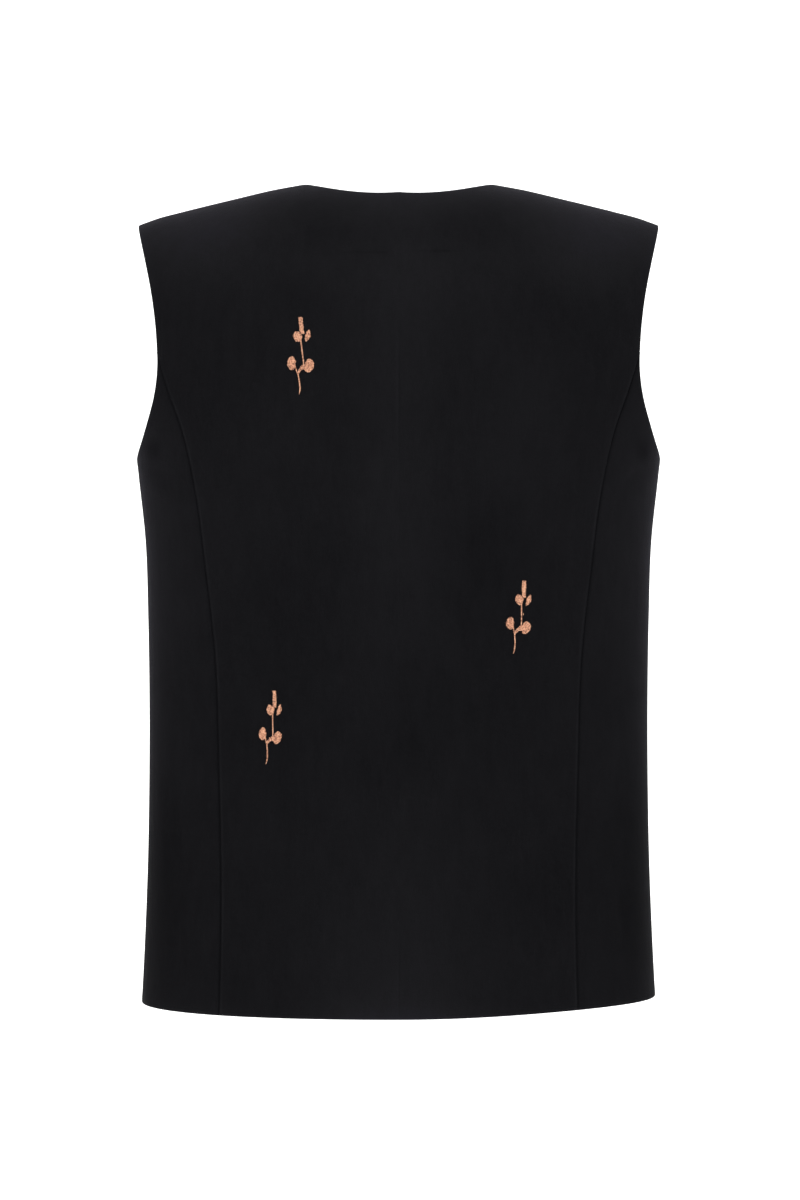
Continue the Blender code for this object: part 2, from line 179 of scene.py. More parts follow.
@dataclass(frozen=True)
class WornForm:
    """The shape that the vest takes when it is worn, as functions of place."""

    hem_z: float = -0.5960
    hem_dip: float = 0.0010
    hem_rise_right: float = 0.005
    hem_rise_reach: float = 0.19
    underarm_z: float = -0.1907
    seam_top_z: float = -0.1144
    neck_half_width: float = 0.0705
    neck_back_y: float = 0.0665
    neck_power: float = 2.4
    tip_x: float = 0.1946
    crown_drop: float = 0.045
    power: float = 2.3
    side_seam_angle: float = math.radians(94.0)
    half_width: Profile = Profile.of_sections("half_width")
    back_depth: Profile = Profile.of_sections("back_depth")
    front_depth: Profile = Profile.of_sections("front_depth")
    ridge: Profile = Profile(RIDGE)
    back_armhole: Profile = Profile(BACK_ARMHOLE)
    front_armhole: Profile = Profile(FRONT_ARMHOLE)
    back_seam: Profile = Profile(BACK_SEAM)
    front_neck: Profile = Profile(FRONT_NECK)

    @property
    def tip_z(self) -> float:
        """The height of the shoulder's tip."""
        return float(self.ridge(self.tip_x))

    def side_fall(self, x: Array, z: Array) -> Array:
        """How much of a section's depth is left at x, from 1 at the middle to 0 at the side."""
        share = np.minimum(np.abs(x) / self.half_width(z), 1.0)
        return (1 - share**self.power) ** (1 / self.power)

    def crown(self, x: Array, z: Array) -> Array:
        """How far the form has opened below the shoulder line, from 0 on it to 1."""
        down = np.clip((self.ridge(np.abs(x)) - z) / self.crown_drop, 0.0, 1.0)
        return np.sqrt(1 - (1 - down) ** 2)

    def on_face(self, face: Face, x: Array, z: Array) -> Array:
        """Points of the back or the front.

        Args:
            face: which of the two.
            x: their distance from the middle, to the wearer's left.
            z: their height.

        Returns:
            The points, on the last axis.
        """
        depth = self.back_depth(z) if face is Face.BACK else self.front_depth(z)
        return stacked(x, face.value * depth * self.side_fall(x, z) * self.crown(x, z), z)

    def on_ring(self, side: Side, angle: Array, z: Array) -> Array:
        """Points below the armholes, by angle.

        Args:
            side: which side of the wearer they are on.
            angle: from 0 at the middle of the back to pi at the middle of the front.
            z: their height.

        Returns:
            The points, on the last axis.
        """
        x = self.half_width(z) * np.abs(np.sin(angle)) ** (2 / self.power)
        fall = np.abs(np.cos(angle)) ** (2 / self.power)
        y = np.where(angle < math.pi / 2, self.back_depth(z), -self.front_depth(z)) * fall
        return stacked(side.value * x, y, z)

    def ring_angle(self, x: Array, z: Array) -> Array:
        """The ring angle of a point of the back at x."""
        share = np.minimum(x / self.half_width(z), 1.0)
        return np.arcsin(share ** (self.power / 2))

    def hem_height(self, x: Array) -> Array:
        """The height of the hem, lowest in the middle and a little higher on the wearer's right."""
        share = np.clip(-np.asarray(x) / self.hem_rise_reach, 0.0, 1.0)
        dip = self.hem_dip * (1 - np.minimum(np.abs(x) / self.hem_rise_reach, 1.0) ** 2)
        return self.hem_z - dip + self.hem_rise_right * share * share * (3 - 2 * share)

    def neck_height(self, x: Array) -> Array:
        """The height of the back neck edge, or of the shoulder line outside it."""
        share = np.minimum(np.abs(x) / self.neck_half_width, 1.0)
        y = self.neck_back_y * (1 - share**self.neck_power) ** (1 / self.neck_power)
        height = self.ridge(np.abs(x))
        for _ in range(4):
            opened = np.minimum(y / (self.back_depth(height) * self.side_fall(x, height)), 1.0)
            height = self.ridge(np.abs(x)) - self.crown_drop * (1 - np.sqrt(1 - opened**2))
        return height

    def from_neck(self, points: Array) -> Array:
        """How far points of the back are outside the neck edge as seen from above, in metres."""
        shares = np.abs(points[..., :2]) / (self.neck_half_width, self.neck_back_y)
        outside = np.sum(shares**self.neck_power, axis=-1) ** (1 / self.neck_power)
        return np.linalg.norm(points[..., :2], axis=-1) * (1 - 1 / np.maximum(outside, 1.0))

    def from_shoulder(self, points: Array) -> Array:
        """How far points are from the line over the shoulder, in metres."""
        return np.hypot(points[..., 1], self.ridge(np.abs(points[..., 0])) - points[..., 2])

    def normals(self, points: Array) -> Array:
        """The direction that a grid of points faces at each, away from the wearer.

        Args:
            points: rows of columns of points.

        Returns:
            Unit vectors in the same layout.
        """
        up, across = np.gradient(points, axis=(0, 1))
        normals = np.cross(across, up)
        normals /= np.maximum(np.linalg.norm(normals, axis=2, keepdims=True), 1e-12)
        outwards = np.sum(normals[..., :2] * points[..., :2])
        return normals * np.sign(outwards)


@dataclass(frozen=True)
class Crease:
    """One soft fold of the cloth: a ridge, or a trough where its rise is negative."""

    face: Face
    start: tuple[float, float]
    end: tuple[float, float]
    rise_mm: float
    width_mm: float

    def spine(self, form: WornForm) -> Array:
        """The three points on the form that the fold runs through."""
        x = np.linspace(self.start[0], self.end[0], 3)
        z = np.linspace(self.start[1], self.end[1], 3)
        return form.on_face(self.face, x, z)

    def height(self, form: WornForm, points: Array) -> Array:
        """How far the fold lifts the cloth at each point.

        Args:
            form: what the cloth lies on.
            points: where to read it.

        Returns:
            The lift, in metres, which fades out across the fold and at its ends.
        """
        spine = self.spine(form)
        near = np.full(points.shape[:-1], np.inf)
        share = np.zeros(points.shape[:-1])
        for part, (a, b) in enumerate(zip(spine, spine[1:])):
            run = b - a
            t = np.clip((points - a) @ run / (run @ run), 0.0, 1.0)
            away = np.linalg.norm(points - a - t[..., None] * run, axis=-1)
            closer = away < near
            near = np.where(closer, away, near)
            share = np.where(closer, (part + t) / 2, share)
        across = np.exp(-((near / (self.width_mm * MM)) ** 2))
        return self.rise_mm * MM * across * np.sin(np.pi * share) ** 0.8


# Each fold's row: x and z where it starts, x and z where it ends, rise and width in mm.
BACK_CREASES = (
    # Waist, where the back bends inwards
    (0.052, -0.354, 0.124, -0.349, -0.75, 5.0),
    (0.06, -0.364, 0.112, -0.361, 0.45, 6.0),
    (-0.048, -0.352, -0.126, -0.356, -0.7, 5.0),
    (-0.066, -0.338, -0.118, -0.336, 0.4, 6.5),
    (0.15, -0.345, 0.182, -0.36, -0.8, 5.5),
    (-0.148, -0.372, -0.183, -0.358, -0.75, 6.0),
    (-0.012, -0.372, 0.03, -0.369, -0.35, 6.0),
    # Beside the right sprig, where the stitches draw the cloth
    (-0.0925, -0.279, -0.129, -0.327, 0.55, 4.0),
    (-0.09, -0.29, -0.122, -0.33, -0.4, 3.5),
    (-0.074, -0.318, -0.056, -0.342, 0.28, 4.0),
    # Round the other two sprigs
    (0.06, -0.118, 0.045, -0.142, 0.25, 3.5),
    (0.083, -0.132, 0.099, -0.156, 0.25, 4.0),
    (0.083, -0.388, 0.064, -0.415, 0.3, 4.0),
    (0.104, -0.39, 0.118, -0.42, -0.3, 4.5),
    # Under the arms and along the shoulder blades
    (0.19, -0.196, 0.161, -0.206, -0.9, 5.0),
    (0.189, -0.208, 0.155, -0.224, 0.6, 6.0),
    (-0.19, -0.196, -0.163, -0.208, -0.9, 5.0),
    (-0.188, -0.212, -0.156, -0.226, 0.55, 6.5),
    (0.156, -0.1, 0.128, -0.19, 0.8, 11.0),
    (-0.156, -0.098, -0.126, -0.186, 0.8, 11.0),
    (0.13, -0.077, 0.06, -0.082, -0.22, 7.0),
    (-0.06, -0.08, -0.14, -0.076, -0.22, 7.0),
    # Long hanging folds below the waist
    (0.018, -0.39, 0.024, -0.59, 0.7, 13.0),
    (0.056, -0.43, 0.062, -0.595, -0.8, 15.0),
    (0.106, -0.38, 0.102, -0.59, 0.75, 14.0),
    (-0.026, -0.4, -0.03, -0.595, -0.6, 13.0),
    (-0.07, -0.39, -0.076, -0.59, 0.8, 15.0),
    (-0.114, -0.41, -0.108, -0.595, -0.7, 13.0),
    (0.164, -0.37, 0.162, -0.56, -0.7, 12.0),
    (-0.162, -0.38, -0.164, -0.58, -0.7, 12.0),
    (0.008, -0.25, 0.006, -0.345, -0.5, 12.0),
    (0.085, -0.215, 0.078, -0.325, -0.7, 16.0),
    (-0.08, -0.21, -0.072, -0.3, -0.7, 16.0),
)
FRONT_CREASES = (
    # Fronts: drag from the bust, the waist and the hanging folds
    (0.172, -0.19, 0.12, -0.226, 1.0, 8.0),
    (0.174, -0.21, 0.124, -0.246, -0.85, 7.0),
    (-0.172, -0.192, -0.118, -0.224, 1.0, 8.5),
    (-0.174, -0.214, -0.126, -0.244, -0.85, 7.0),
    (0.05, -0.356, 0.118, -0.35, -0.8, 6.0),
    (0.06, -0.37, 0.126, -0.368, 0.5, 7.0),
    (-0.046, -0.35, -0.124, -0.358, -0.8, 6.0),
    (-0.07, -0.34, -0.118, -0.34, 0.5, 7.0),
    (0.148, -0.35, 0.182, -0.362, -0.8, 6.0),
    (-0.15, -0.36, -0.182, -0.352, -0.8, 6.0),
    (0.035, -0.4, 0.04, -0.595, 0.9, 14.0),
    (0.085, -0.42, 0.088, -0.595, -0.9, 15.0),
    (0.134, -0.39, 0.136, -0.59, 0.8, 14.0),
    (-0.04, -0.41, -0.044, -0.595, -0.8, 14.0),
    (-0.09, -0.4, -0.092, -0.59, 0.9, 15.0),
    (-0.138, -0.42, -0.136, -0.595, -0.8, 13.0),
    (0.09, -0.05, 0.13, -0.15, 0.8, 12.0),
    (-0.092, -0.052, -0.128, -0.148, 0.8, 12.0),
)
CREASES = tuple(
    Crease(face, row[:2], row[2:4], *row[4:])
    for face, rows in ((Face.BACK, BACK_CREASES), (Face.FRONT, FRONT_CREASES))
    for row in rows
)


Socket = bpy.types.NodeSocket
Inputs = dict[str | int, object]
Colour = tuple[float, float, float]


@dataclass(frozen=True)
class Pattern:
    """A noise pattern: the size of its cells, its finer layers and its share in the tone."""

    size_mm: float
    detail: float
    roughness: float
    share: float = 0.0


class Net:
    """A material and its nodes, each added and wired in one call."""

    def __init__(self, name: str) -> None:
        """Starts a material of that name."""
        self.material = bpy.data.materials.new(name)
        self.material.use_nodes = True
        self.shader = self.material.node_tree.nodes["Principled BSDF"]

    def feed(self, node: bpy.types.Node, inputs: Inputs) -> None:
        """Gives each named input of a node its value, or the socket that it is linked to."""
        for key, value in inputs.items():
            if isinstance(value, Socket):
                self.material.node_tree.links.new(value, node.inputs[key])
            else:
                node.inputs[key].default_value = value

    def add(self, kind: str, inputs: Inputs, **options: str) -> bpy.types.Node:
        """Adds a node.

        Args:
            kind: the end of its type's name.
            inputs: the value or socket of each input that isn't left as it is.
            options: its own settings.

        Returns:
            The node.
        """
        node = self.material.node_tree.nodes.new(f"ShaderNode{kind}")
        for name, value in options.items():
            setattr(node, name, value)
        self.feed(node, inputs)
        return node

    def place(self) -> Socket:
        """The Object coordinates."""
        return self.add("TexCoord", {}).outputs["Object"]

    def noise(self, place: Socket, pattern: Pattern) -> Socket:
        """The value of a noise pattern at a place, from 0 to 1."""
        inputs = {"Detail": pattern.detail, "Roughness": pattern.roughness, "Vector": place}
        return self.add("TexNoise", {"Scale": 1 / (pattern.size_mm * MM), **inputs}).outputs["Fac"]

    def added(self, value: Socket, to: Socket, share: float) -> Socket:
        """The sum of one value and a share of another."""
        inputs = {0: value, 1: share, 2: to}
        return self.add("Math", inputs, operation="MULTIPLY_ADD").outputs["Value"]

    def ramp(self, value: Socket, stops: dict[float, Colour]) -> Socket:
        """The colour for a value, by three stops in rising order."""
        node = self.add("ValToRGB", {"Fac": value})
        elements = node.color_ramp.elements
        elements.new(1.0)
        for element, (position, colour) in zip(elements, stops.items()):
            element.position = position
            element.color = (*colour, 1.0)
        return node.outputs["Color"]

    def bump(self, height: Socket, strength: float, distance: float, **under: Socket) -> Socket:
        """The normal that a height bends, by that strength and over that distance in metres."""
        inputs = {"Height": height, "Strength": strength, "Distance": distance, **under}
        return self.add("Bump", inputs).outputs["Normal"]


@dataclass(frozen=True)
class PaintedLightPatch:
    """A broad place of painted light, or of painted shade where its lift is negative.

    It goes through from the back to the fronts, unless it has a place and a half depth along Y.
    """

    x: float
    z: float
    half_width: float
    half_height: float
    lift: float
    y: float = 0.0
    half_depth: float = 1000.0

    def fade(self, net: Net, place: Socket) -> Socket:
        """The patch's strength at a place: 1 in its middle, 0 outside it."""
        middle = (self.x, self.y, self.z)
        reach = (self.half_width, self.half_depth, self.half_height)
        inputs = {"Location": middle, "Scale": reach, "Vector": place}
        centred = net.add("Mapping", inputs, vector_type="TEXTURE").outputs["Vector"]
        away = net.add("VectorMath", {0: centred}, operation="LENGTH").outputs["Value"]
        inputs = {"To Min": 1.0, "To Max": 0.0, "Value": away}
        return net.add("MapRange", inputs, interpolation_type="SMOOTHSTEP").outputs["Result"]


# Each patch's row: x and z of its middle, half width, half height and lift, and y and half depth.
PAINTED_LIGHT_PATCHES = tuple(
    PaintedLightPatch(*row) for row in (
        # Painted light and painted violet sheen on the yoke, the edge of the neck and the tips of
        # the shoulders
        (0.0, -0.08, 0.11, 0.11, 0.16),
        (0.0, 0.012, 0.11, 0.05, 0.42),
        (0.145, -0.025, 0.105, 0.07, 0.46),
        (-0.145, -0.025, 0.105, 0.07, 0.46),
        # Painted light on the middle and the hem, and painted shade over the waist and the lower
        # back
        (0.0, -0.23, 0.055, 0.2, 0.17),
        (0.082, -0.31, 0.06, 0.085, -0.08),
        (-0.078, -0.29, 0.065, 0.085, -0.08),
        (0.0, -0.385, 0.12, 0.065, -0.07),
        (0.12, -0.5, 0.06, 0.14, -0.06),
        (-0.115, -0.49, 0.06, 0.14, -0.05),
        (0.0, -0.61, 0.095, 0.24, 0.22),
        (0.0, -0.603, 0.1, 0.034, 0.22),
        (0.0, -0.052, 0.09, 0.062, 0.15),
        # Painted light on the shoulder blades and the upper sides, and painted shade on the lower
        # sides
        (0.09, -0.19, 0.07, 0.08, 0.07),
        (-0.09, -0.185, 0.07, 0.08, 0.1),
        (0.172, -0.27, 0.045, 0.15, 0.13),
        (-0.172, -0.26, 0.045, 0.16, 0.14),
        (0.188, -0.51, 0.048, 0.15, -0.3),
        (-0.188, -0.51, 0.048, 0.15, -0.3),
        # Painted shade in the dimples under the arms
        (0.181, -0.186, 0.01, 0.014, -0.32, 0.055, 0.05),
        (-0.181, -0.186, 0.01, 0.014, -0.32, 0.055, 0.05),
        # Painted shade along the line that the turned neck edge presses into the back from inside
        (0.025, -0.0442, 0.026, 0.0017, -0.17),
        (0.012, -0.0446, 0.009, 0.0013, -0.1),
        (-0.028, -0.0434, 0.024, 0.0017, -0.17),
        (-0.034, -0.043, 0.008, 0.0013, -0.12),
    )
)


@dataclass(frozen=True)
class NappedCloth:
    """Near-black cloth with a short soft nap, which greys to violet where seen along its pile."""

    name: str = "black_napped_cloth"
    # The tone's colours: deep and worn for the nap's own tones, and a lightest, violet stop that
    # wear reaches and that painted light and painted sheen reach.
    deep: Colour = (0.0030, 0.0030, 0.0036)
    worn: Colour = (0.0076, 0.0075, 0.0086)
    brushed_and_lit: Colour = (0.0122, 0.0117, 0.0154)
    deep_at: float = 0.25
    worn_at: float = 0.80
    brushed_and_lit_at: float = 1.30
    roughness: float = 0.88
    specular: float = 0.03
    sheen_low: float = 0.006
    sheen_high: float = 0.030
    sheen_from_z: float = -0.48
    sheen_to_z: float = -0.26
    sheen_roughness: float = 0.36
    sheen_tint: Colour = (0.72, 0.66, 0.96)
    streaks: Pattern = Pattern(7.0, 5.0, 0.62, 0.30)
    streak_stretch: float = 0.3
    clouds: Pattern = Pattern(55.0, 3.0, 0.5, 0.24)
    mottle: Pattern = Pattern(1.6, 3.0, 0.65, 0.46)
    pile: Pattern = Pattern(0.45, 2.0, 0.6)
    streak_bump: tuple[float, float] = (0.30, 0.0009)
    pile_bump: tuple[float, float] = (0.55, 0.00022)

    def material(self) -> bpy.types.Material:
        """Builds the node material.

        Returns:
            The material, whose patterns read Object coordinates and the panels' nap attribute,
            which holds wear and painted light and shade.
        """
        net = Net(self.name)
        place = net.place()
        stretch = {"Scale": (1.0, 1.0, self.streak_stretch), "Vector": place}
        streaks = net.noise(net.add("Mapping", stretch).outputs["Vector"], self.streaks)
        nap = net.add("Attribute", {}, attribute_name=NAP_WEAR_AND_PAINTED_LIGHT).outputs["Fac"]
        tone = net.added(streaks, nap, self.streaks.share)
        for pattern in (self.clouds, self.mottle):
            tone = net.added(net.noise(place, pattern), tone, pattern.share)
        # Painted light and painted shade, one broad patch at a time, added to the tone
        for patch in PAINTED_LIGHT_PATCHES:
            tone = net.added(patch.fade(net, place), tone, patch.lift)
        share = net.add("Math", {0: tone, 1: self.brushed_and_lit_at}, operation="DIVIDE")
        height = {
            "From Min": self.sheen_from_z,
            "From Max": self.sheen_to_z,
            "To Min": self.sheen_low,
            "To Max": self.sheen_high,
            "Value": net.add("SeparateXYZ", {"Vector": place}).outputs["Z"],
        }
        soft = net.bump(streaks, *self.streak_bump)
        net.feed(net.shader, {
            "Base Color": net.ramp(share.outputs["Value"], {
                self.deep_at / self.brushed_and_lit_at: self.deep,
                self.worn_at / self.brushed_and_lit_at: self.worn,
                1.0: self.brushed_and_lit,
            }),
            "Roughness": self.roughness,
            "Specular IOR Level": self.specular,
            "Sheen Weight": net.add("MapRange", height).outputs["Result"],
            "Sheen Roughness": self.sheen_roughness,
            "Sheen Tint": (*self.sheen_tint, 1.0),
            "Normal": net.bump(net.noise(place, self.pile), *self.pile_bump, Normal=soft),
        })
        return net.material


@dataclass(frozen=True)
class SatinThread:
    """Copper embroidery thread with a silky twist."""

    name: str
    # middle is the copper's own tone; bright is painted sheen and dark is painted shade, spread at
    # random from stitch to stitch.
    bright: Colour
    middle: Colour
    dark: Colour
    dark_at: float = 0.34
    middle_at: float = 0.48
    bright_at: float = 0.62
    painted_sheen_flecks: Pattern = Pattern(1.05, 2.5, 0.6)
    roughness: float = 0.45
    specular: float = 0.45
    sheen: float = 0.20
    sheen_tint: Colour = (1.0, 0.86, 0.74)
    twist_mm: float = 0.5
    twist_distortion: float = 1.5
    twist_bump: tuple[float, float] = (0.35, 0.00005)

    def material(self) -> bpy.types.Material:
        """Builds the node material.

        Returns:
            The material, flecked with painted sheen and painted shade from stitch to stitch, and
            ribbed along the twist.
        """
        net = Net(self.name)
        place = net.place()
        stops = {self.dark_at: self.dark, self.middle_at: self.middle, self.bright_at: self.bright}
        twist = net.add("TexWave", {
            "Scale": 1 / (3 * self.twist_mm * MM),
            "Distortion": self.twist_distortion,
            "Vector": place,
        })
        net.feed(net.shader, {
            "Base Color": net.ramp(net.noise(place, self.painted_sheen_flecks), stops),
            "Roughness": self.roughness,
            "Sheen Weight": self.sheen,
            "Sheen Tint": (*self.sheen_tint, 1.0),
            "Specular IOR Level": self.specular,
            "Normal": net.bump(twist.outputs["Fac"], *self.twist_bump),
        })
        return net.material


LEAF_THREAD = SatinThread(
    "copper_satin_thread", (0.78, 0.430, 0.262), (0.50, 0.222, 0.126), (0.13, 0.042, 0.021)
)
# The same copper thread painted paler and pinker: painted sheen where the stem stitches run
# lengthwise.
STEM_THREAD_PAINTED_SHEEN = SatinThread(
    "stem_thread_painted_sheen", (0.80, 0.50, 0.37), (0.57, 0.32, 0.23), (0.28, 0.12, 0.078)
)


@dataclass(frozen=True)
class Band:
    """A soft line along an edge: its strength, its distance from the edge and its spread."""

    strength: float
    at: float
    spread: float

    def __call__(self, away: Array) -> Array:
        """The line's strength at a distance, which fades to 0 well past its spread."""
        return self.strength * np.exp(-(((away - self.at) / self.spread) ** 2))


# Lifts of the cloth beside an edge, in millimetres.
TURNING = Band(0.12, 4.0, 2.6)
PRESSED_SEAM = Band(0.25, 0.0, 8.0)
# Lighter and darker tone beside an edge or a seam, by millimetres from it: wear along the free
# edges, painted light where they roll over, a painted lit line and painted shade along the curved
# seam, and painted shade beside it on the side panel.
SOFT_WEAR = Band(0.12, 0.0, 5.0)
ROLL_PAINTED_LIGHT = Band(0.45, 0.0, 0.9)
SEAM_PAINTED_LIGHT = Band(0.27, 1.5, 0.8)
SEAM_PAINTED_SHADE = Band(0.30, 0.0, 0.7)
SIDE_PAINTED_SHADE = Band(0.40, 0.0, 1.2)
# The middle seam of the back: painted light beside its left half and painted shade beside its right
# half, and the heights where they show.
MIDDLE_SEAM_LIGHT_AND_SHADE = {Side.LEFT: Band(0.12, 0.9, 0.7), Side.RIGHT: Band(-0.08, 0.9, 0.7)}
MIDDLE_SEEN = (Band(1.0, -0.140, 0.040), Band(1.0, -0.570, 0.022))
# How the fronts' middle edges draw apart, by millimetres from them.
PARTING = Band(1.0, 0.0, 6.0)


def rolled(away: Array, reach: float, depth: Array) -> Array:
    """How far a face rolls in near an edge: by all the depth on it, by none past the reach."""
    left = 1 - np.minimum(away / reach, 1.0)
    return depth * (1 - np.sqrt(1 - left**2))


def arc(points: Array, axis: int) -> Array:
    """Distance along a grid's lines on one axis, from their first point."""
    run = np.linalg.norm(np.diff(points, axis=axis), axis=2)
    start = np.zeros_like(np.take(run, [0], axis=axis))
    return np.concatenate([start, np.cumsum(run, axis=axis)], axis=axis)


def squareness(points: Array) -> Array:
    """The sine of the angle between the first row of a grid and the line of each column there."""
    edge = np.gradient(points[0], axis=0)
    line = points[1] - points[0]
    sizes = np.linalg.norm(edge, axis=1) * np.linalg.norm(line, axis=1)
    return np.linalg.norm(np.cross(edge, line), axis=1) / sizes


@dataclass(frozen=True)
class Edges:
    """How far each point of a panel's grid is from its edges, square to them and in millimetres."""

    inner: Array
    outer: Array
    foot: Array
    top: Array

    @classmethod
    def of(cls, points: Array) -> "Edges":
        """Measures a grid, with rows from inner to outer edge and columns from foot to top."""
        turned = points.swapaxes(0, 1)
        across = arc(points, 1) / MM
        up = arc(points, 0) / MM
        return cls(
            across * squareness(turned)[:, None],
            (across[:, -1:] - across) * squareness(turned[::-1])[:, None],
            up * squareness(points),
            (up[-1:] - up) * squareness(points[::-1]),
        )

    @property
    def nearest(self) -> Array:
        """The distance to the nearest edge."""
        return np.minimum.reduce([self.inner, self.outer, self.foot, self.top])


@dataclass(frozen=True)
class Cut:
    """The flat size that a panel is cut to, in metres."""

    width: float
    length: float
    area: float

    @classmethod
    def of(cls, points: Array) -> "Cut":
        """The cut of a panel from its grid of points."""
        width = float(arc(points, 1)[:, -1].max())
        length = float(arc(points, 0)[-1, :].max())
        sides = np.diff(points, axis=0)[:, :-1], np.diff(points, axis=1)[:-1]
        area = float(np.linalg.norm(np.cross(*sides), axis=2).sum())
        return cls(width, length, min(area, width * length))


@dataclass(frozen=True)
class Panel:
    """One cut piece of the cloth: a creased wall on the form with rolled edges, and a nap tone that
    holds wear and painted light and shade.
    """

    node: str
    side: Side
    form: WornForm
    cell_mm: float = 3.0
    fine_mm: float = 1.0
    edge_lines_mm: tuple[float, ...] = (0.08, 0.28, 0.55, 0.90, 1.40, 2.00, 2.90, 4.20)
    wall_mm: float = 2.0
    roll_mm: float = 0.85
    crown_arc: float = 0.110

    def shares(self, length: float) -> Array:
        """Even shares from 0 to 1 along a length, closer together than the finished cells."""
        return np.linspace(0.0, 1.0, math.ceil(length / (self.fine_mm * MM)) + 1)

    def climb(self, base: float, top: float) -> Array:
        """Shares of the way up from base to top, closer where the form turns over the shoulder."""
        knee = 1 - self.form.crown_drop / (top - base)
        turn = np.sin(self.shares(self.crown_arc) * math.pi / 2)
        return np.concatenate([self.shares((top - base) * knee) * knee, mix(knee, 1.0, turn)[1:]])

    def spaced(self, points: Array, low: bool = True, high: bool = True) -> Array:
        """Moves a grid's rows to lines one cell apart, and closer beside an edge of the cloth.

        Args:
            points: rows of points, closer together than the cells.
            low: whether the first row is an edge of the cloth.
            high: whether the last row is one.

        Returns:
            The points of the new rows, each column's at its own even distances.
        """
        along = arc(points, 0)
        whole = along[-1]
        close = np.outer(np.array(self.edge_lines_mm) * MM, np.ones_like(whole))
        first = close[-1] if low else 0 * whole
        last = whole - close[-1] if high else whole
        count = max(round(float((last - first).max()) / (self.cell_mm * MM)), 1)
        lines = [mix(first, last, np.linspace(0.0, 1.0, count + 1)[:, None])]
        if low:
            lines = [0 * close[:1], close[:-1], *lines]
        if high:
            lines = [*lines, whole - close[-2::-1], whole[None]]
        columns = zip(np.concatenate(lines).T, along.T, points.swapaxes(0, 1))
        moved = [[np.interp(at, run, way) for way in column.T] for at, run, column in columns]
        return np.array(moved).transpose(2, 0, 1)

    def spaced_across(self, points: Array, low: bool = True, high: bool = True) -> Array:
        """Moves a grid's columns in the same way."""
        return self.spaced(points.swapaxes(0, 1), low, high).swapaxes(0, 1)

    def grid(self) -> Array:
        """The grid of points of this panel on the form, in rows from hem to top."""
        raise NotImplementedError

    def lift(self, points: Array, edges: Edges) -> Array:
        """How far the turnings raise the cloth beside the panel's edges, in millimetres."""
        return TURNING(edges.nearest)

    def roll(self, edges: Edges) -> Array:
        """How far both faces of the cloth roll in towards each other, in millimetres."""
        return rolled(edges.nearest, self.roll_mm, self.roll_mm)

    def nap(self, points: Array, edges: Edges) -> Array:
        """How much lighter the tone is along the edges, as a share of the tones: wear, and painted
        light where the edges roll over.
        """
        return self.worn_and_lit_edge(edges.nearest)

    @staticmethod
    def worn_and_lit_edge(away: Array) -> Array:
        """The lighter tone by distance from a free edge: wear, and painted light where the cloth
        rolls over, lightest there.
        """
        return SOFT_WEAR(away) + ROLL_PAINTED_LIGHT(away)

    @staticmethod
    def shell(face: Array, lining: Array, nap: Array) -> bmesh.types.BMesh:
        """Closes a wall between two faces of the cloth.

        Args:
            face: the outer face's grid of points.
            lining: the inner face's.
            nap: the nap's tone, which holds wear and painted light and shade, in the same layout.

        Returns:
            The wall, with the nap as an attribute.
        """
        rows, columns = nap.shape
        bm = bmesh.new()
        layer = bm.verts.layers.float.new(NAP_WEAR_AND_PAINTED_LIGHT)
        bmesh.ops.create_grid(bm, x_segments=columns - 1, y_segments=rows - 1, size=0.5)
        extruded = bmesh.ops.extrude_face_region(bm, geom=bm.faces[:], use_keep_orig=True)["geom"]
        inner = {item for item in extruded if isinstance(item, bmesh.types.BMVert)}
        for vert in bm.verts:
            i = round((vert.co.y + 0.5) * (rows - 1))
            j = round((vert.co.x + 0.5) * (columns - 1))
            vert.co = lining[i, j] if vert in inner else face[i, j]
            vert[layer] = nap[i, j]
        bmesh.ops.recalc_face_normals(bm, faces=bm.faces)
        if bm.calc_volume(signed=True) < 0:
            bmesh.ops.reverse_faces(bm, faces=bm.faces)
        return bm

    def build(self, finish: bpy.types.Material, sewn_on: list[bpy.types.Object]) -> None:
        """Args:
            finish: the cloth's material.
            sewn_on: the pieces that are embroidered on it; not used.
        """
        smooth = self.grid()
        edges = Edges.of(smooth)
        out = self.form.normals(smooth)
        lift = self.lift(smooth, edges) * MM
        for crease in CREASES:
            lift = lift + crease.height(self.form, smooth)
        roll = self.roll(edges) * MM
        face = smooth + out * (lift - roll)[..., None]
        lining = smooth + out * (lift + roll - self.wall_mm * MM)[..., None]
        bm = self.shell(face, lining, self.nap(smooth, edges))
        piece = new_piece(f"{self.node}_cloth", bm, finish)
        cut = Cut.of(face)
        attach(piece, BODY)
        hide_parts(self.node)
        cut.length
        LOG.info("%s: cut %.4f x %.4f m, %.5f m2", piece.name, cut.width, cut.length, cut.area)


